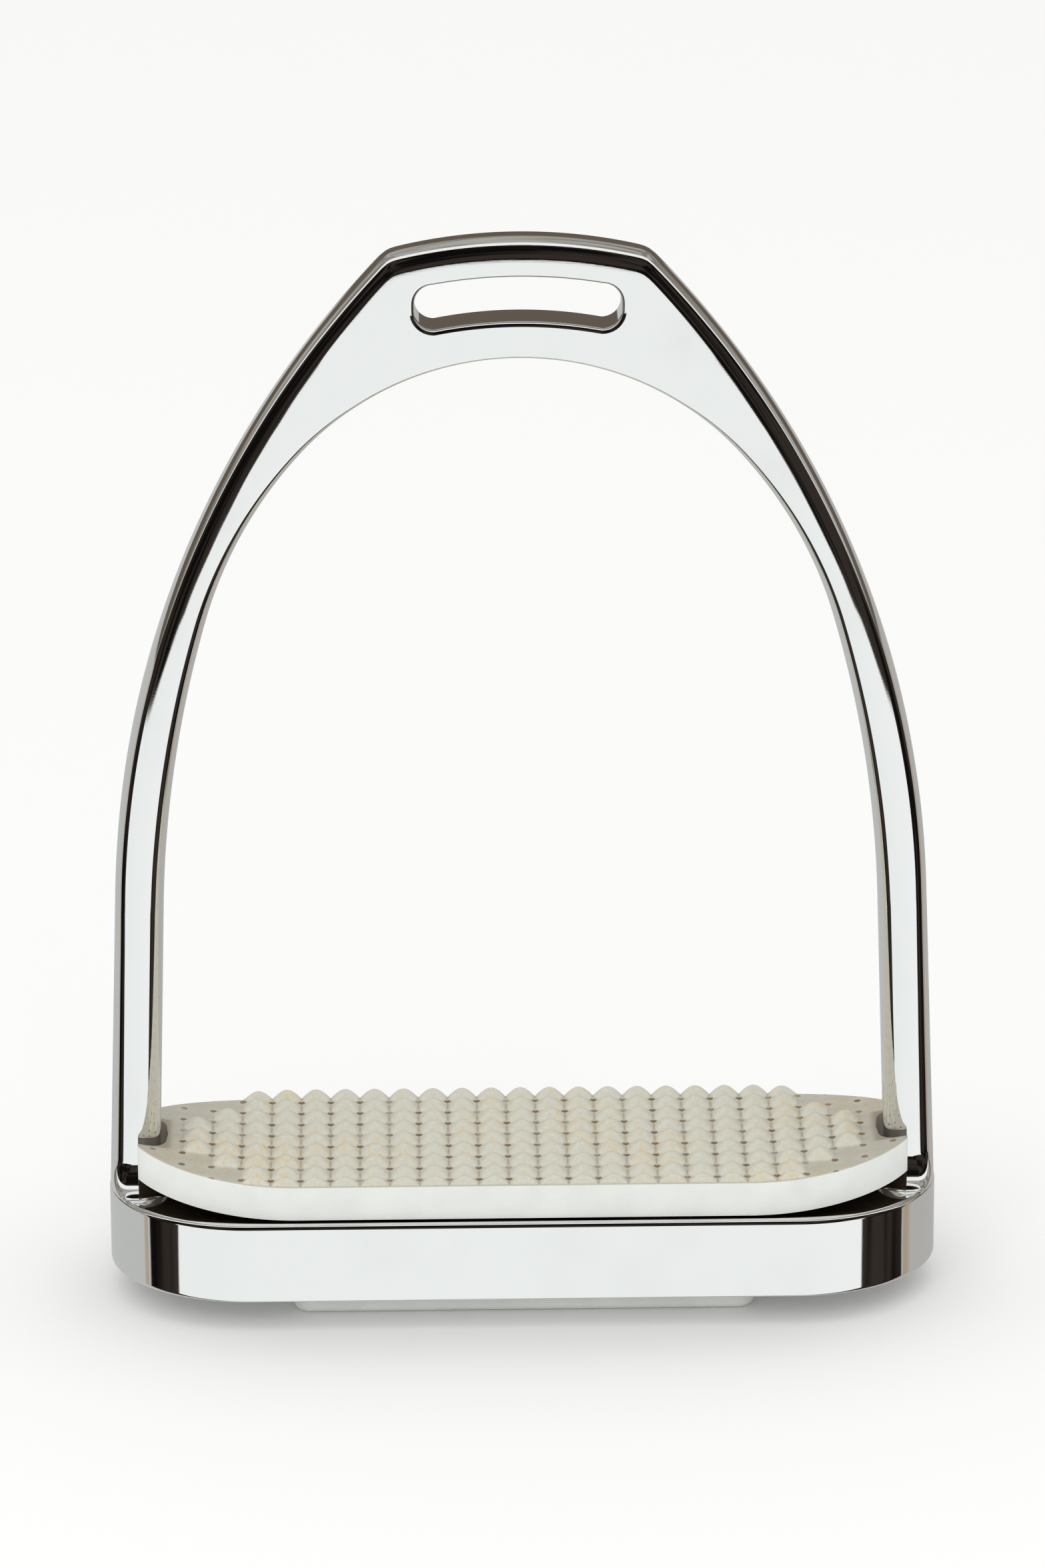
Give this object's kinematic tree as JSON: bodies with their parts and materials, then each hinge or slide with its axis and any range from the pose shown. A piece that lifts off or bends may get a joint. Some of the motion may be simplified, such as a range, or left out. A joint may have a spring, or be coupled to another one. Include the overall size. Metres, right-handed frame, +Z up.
{
  "type": "stirrup iron",
  "caption": "Stirrup iron of the Fillis pattern: polished stainless steel frame with a leather slot at the top, and a white studded rubber tread pushed into the footplate.",
  "frame": {"origin": "bottom centre of the bounding box: on the underside of the tread's boss, below the middle of the footplate", "axes": "+Z up towards the eye, +X across the foot between the branches, +Y from the front of the stirrup to its back"},
  "size_m": [0.14, 0.0436, 0.1854],
  "materials": {
    "polished_steel": "mirror-polished stainless steel",
    "white_rubber": "moulded off-white rubber, matt"
  },
  "bodies": {
    "frame": {"stirrup_frame": "polished_steel"},
    "tread": {"rubber_tread": "white_rubber"}
  },
  "joints": [
    {"name": "tread_lift", "type": "slide", "parent": "frame", "child": "tread", "axis": [0, 0, 1], "range_m": [0, 0.03]}
  ]
}
